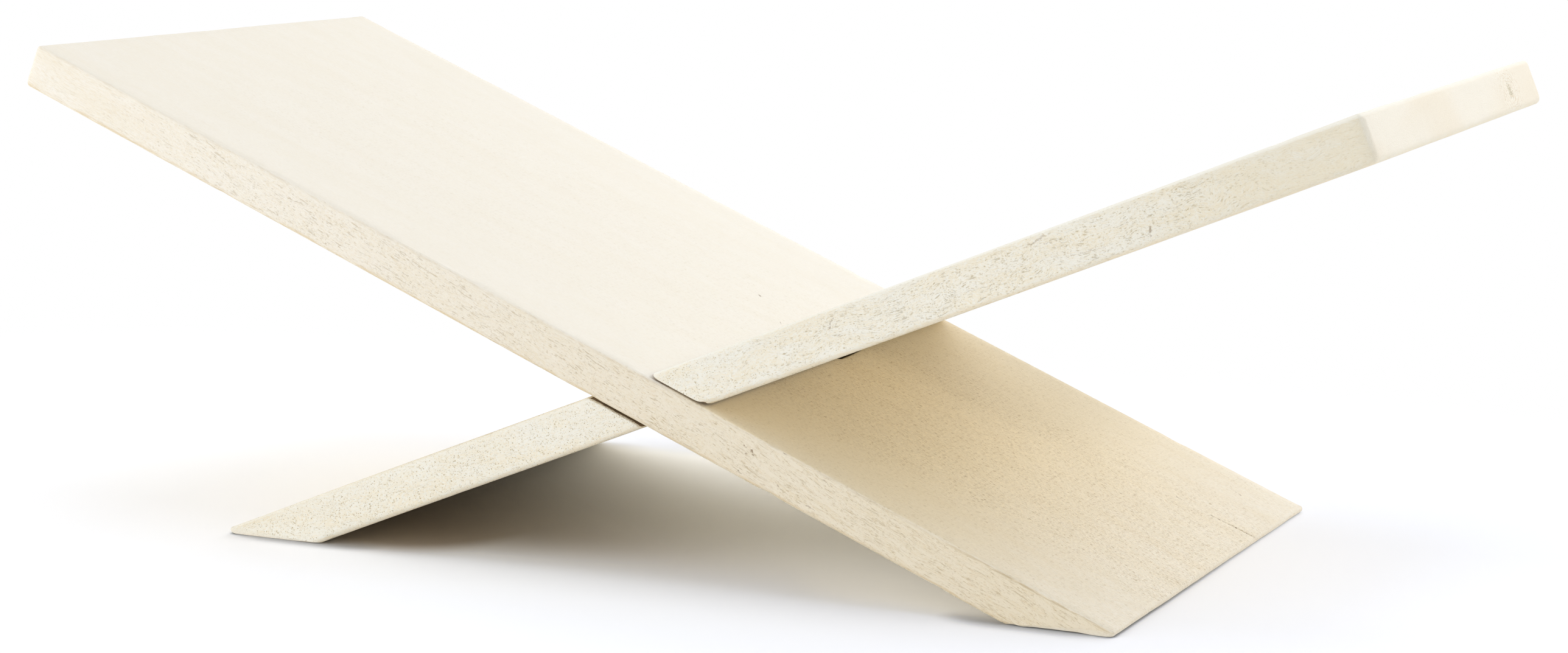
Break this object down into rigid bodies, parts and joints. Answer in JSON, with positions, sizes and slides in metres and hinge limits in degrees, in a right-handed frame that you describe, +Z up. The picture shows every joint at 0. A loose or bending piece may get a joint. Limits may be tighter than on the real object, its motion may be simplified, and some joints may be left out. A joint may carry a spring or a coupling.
{
  "type": "crossed bookstand",
  "caption": "Low X-shaped bookstand of straight solid-wood boards that slot together along their crossing line; the upper arms cradle an open book.",
  "frame": {"origin": "on the floor, at the middle of the stand's bounding box, under the crossing line of the boards", "axes": "+X from the left board's top end to the right board's top end, +Y from the front edge to the back edge along the crossing line, +Z up"},
  "size_m": [0.6108, 0.2605, 0.2096],
  "materials": {
    "left_board_wood": "bleached open-pored hardwood, hand sanded, matte",
    "right_board_wood": "bleached open-pored hardwood, hand sanded, matte"
  },
  "bodies": {
    "left_board": {"left_rest_board": "left_board_wood"},
    "right_board": {"right_rest_board": "right_board_wood"}
  },
  "joints": [
    {"name": "slide_apart", "type": "slide", "parent": "left_board", "child": "right_board", "axis": [0, 1, 0], "range_m": [0, 0.264]}
  ]
}
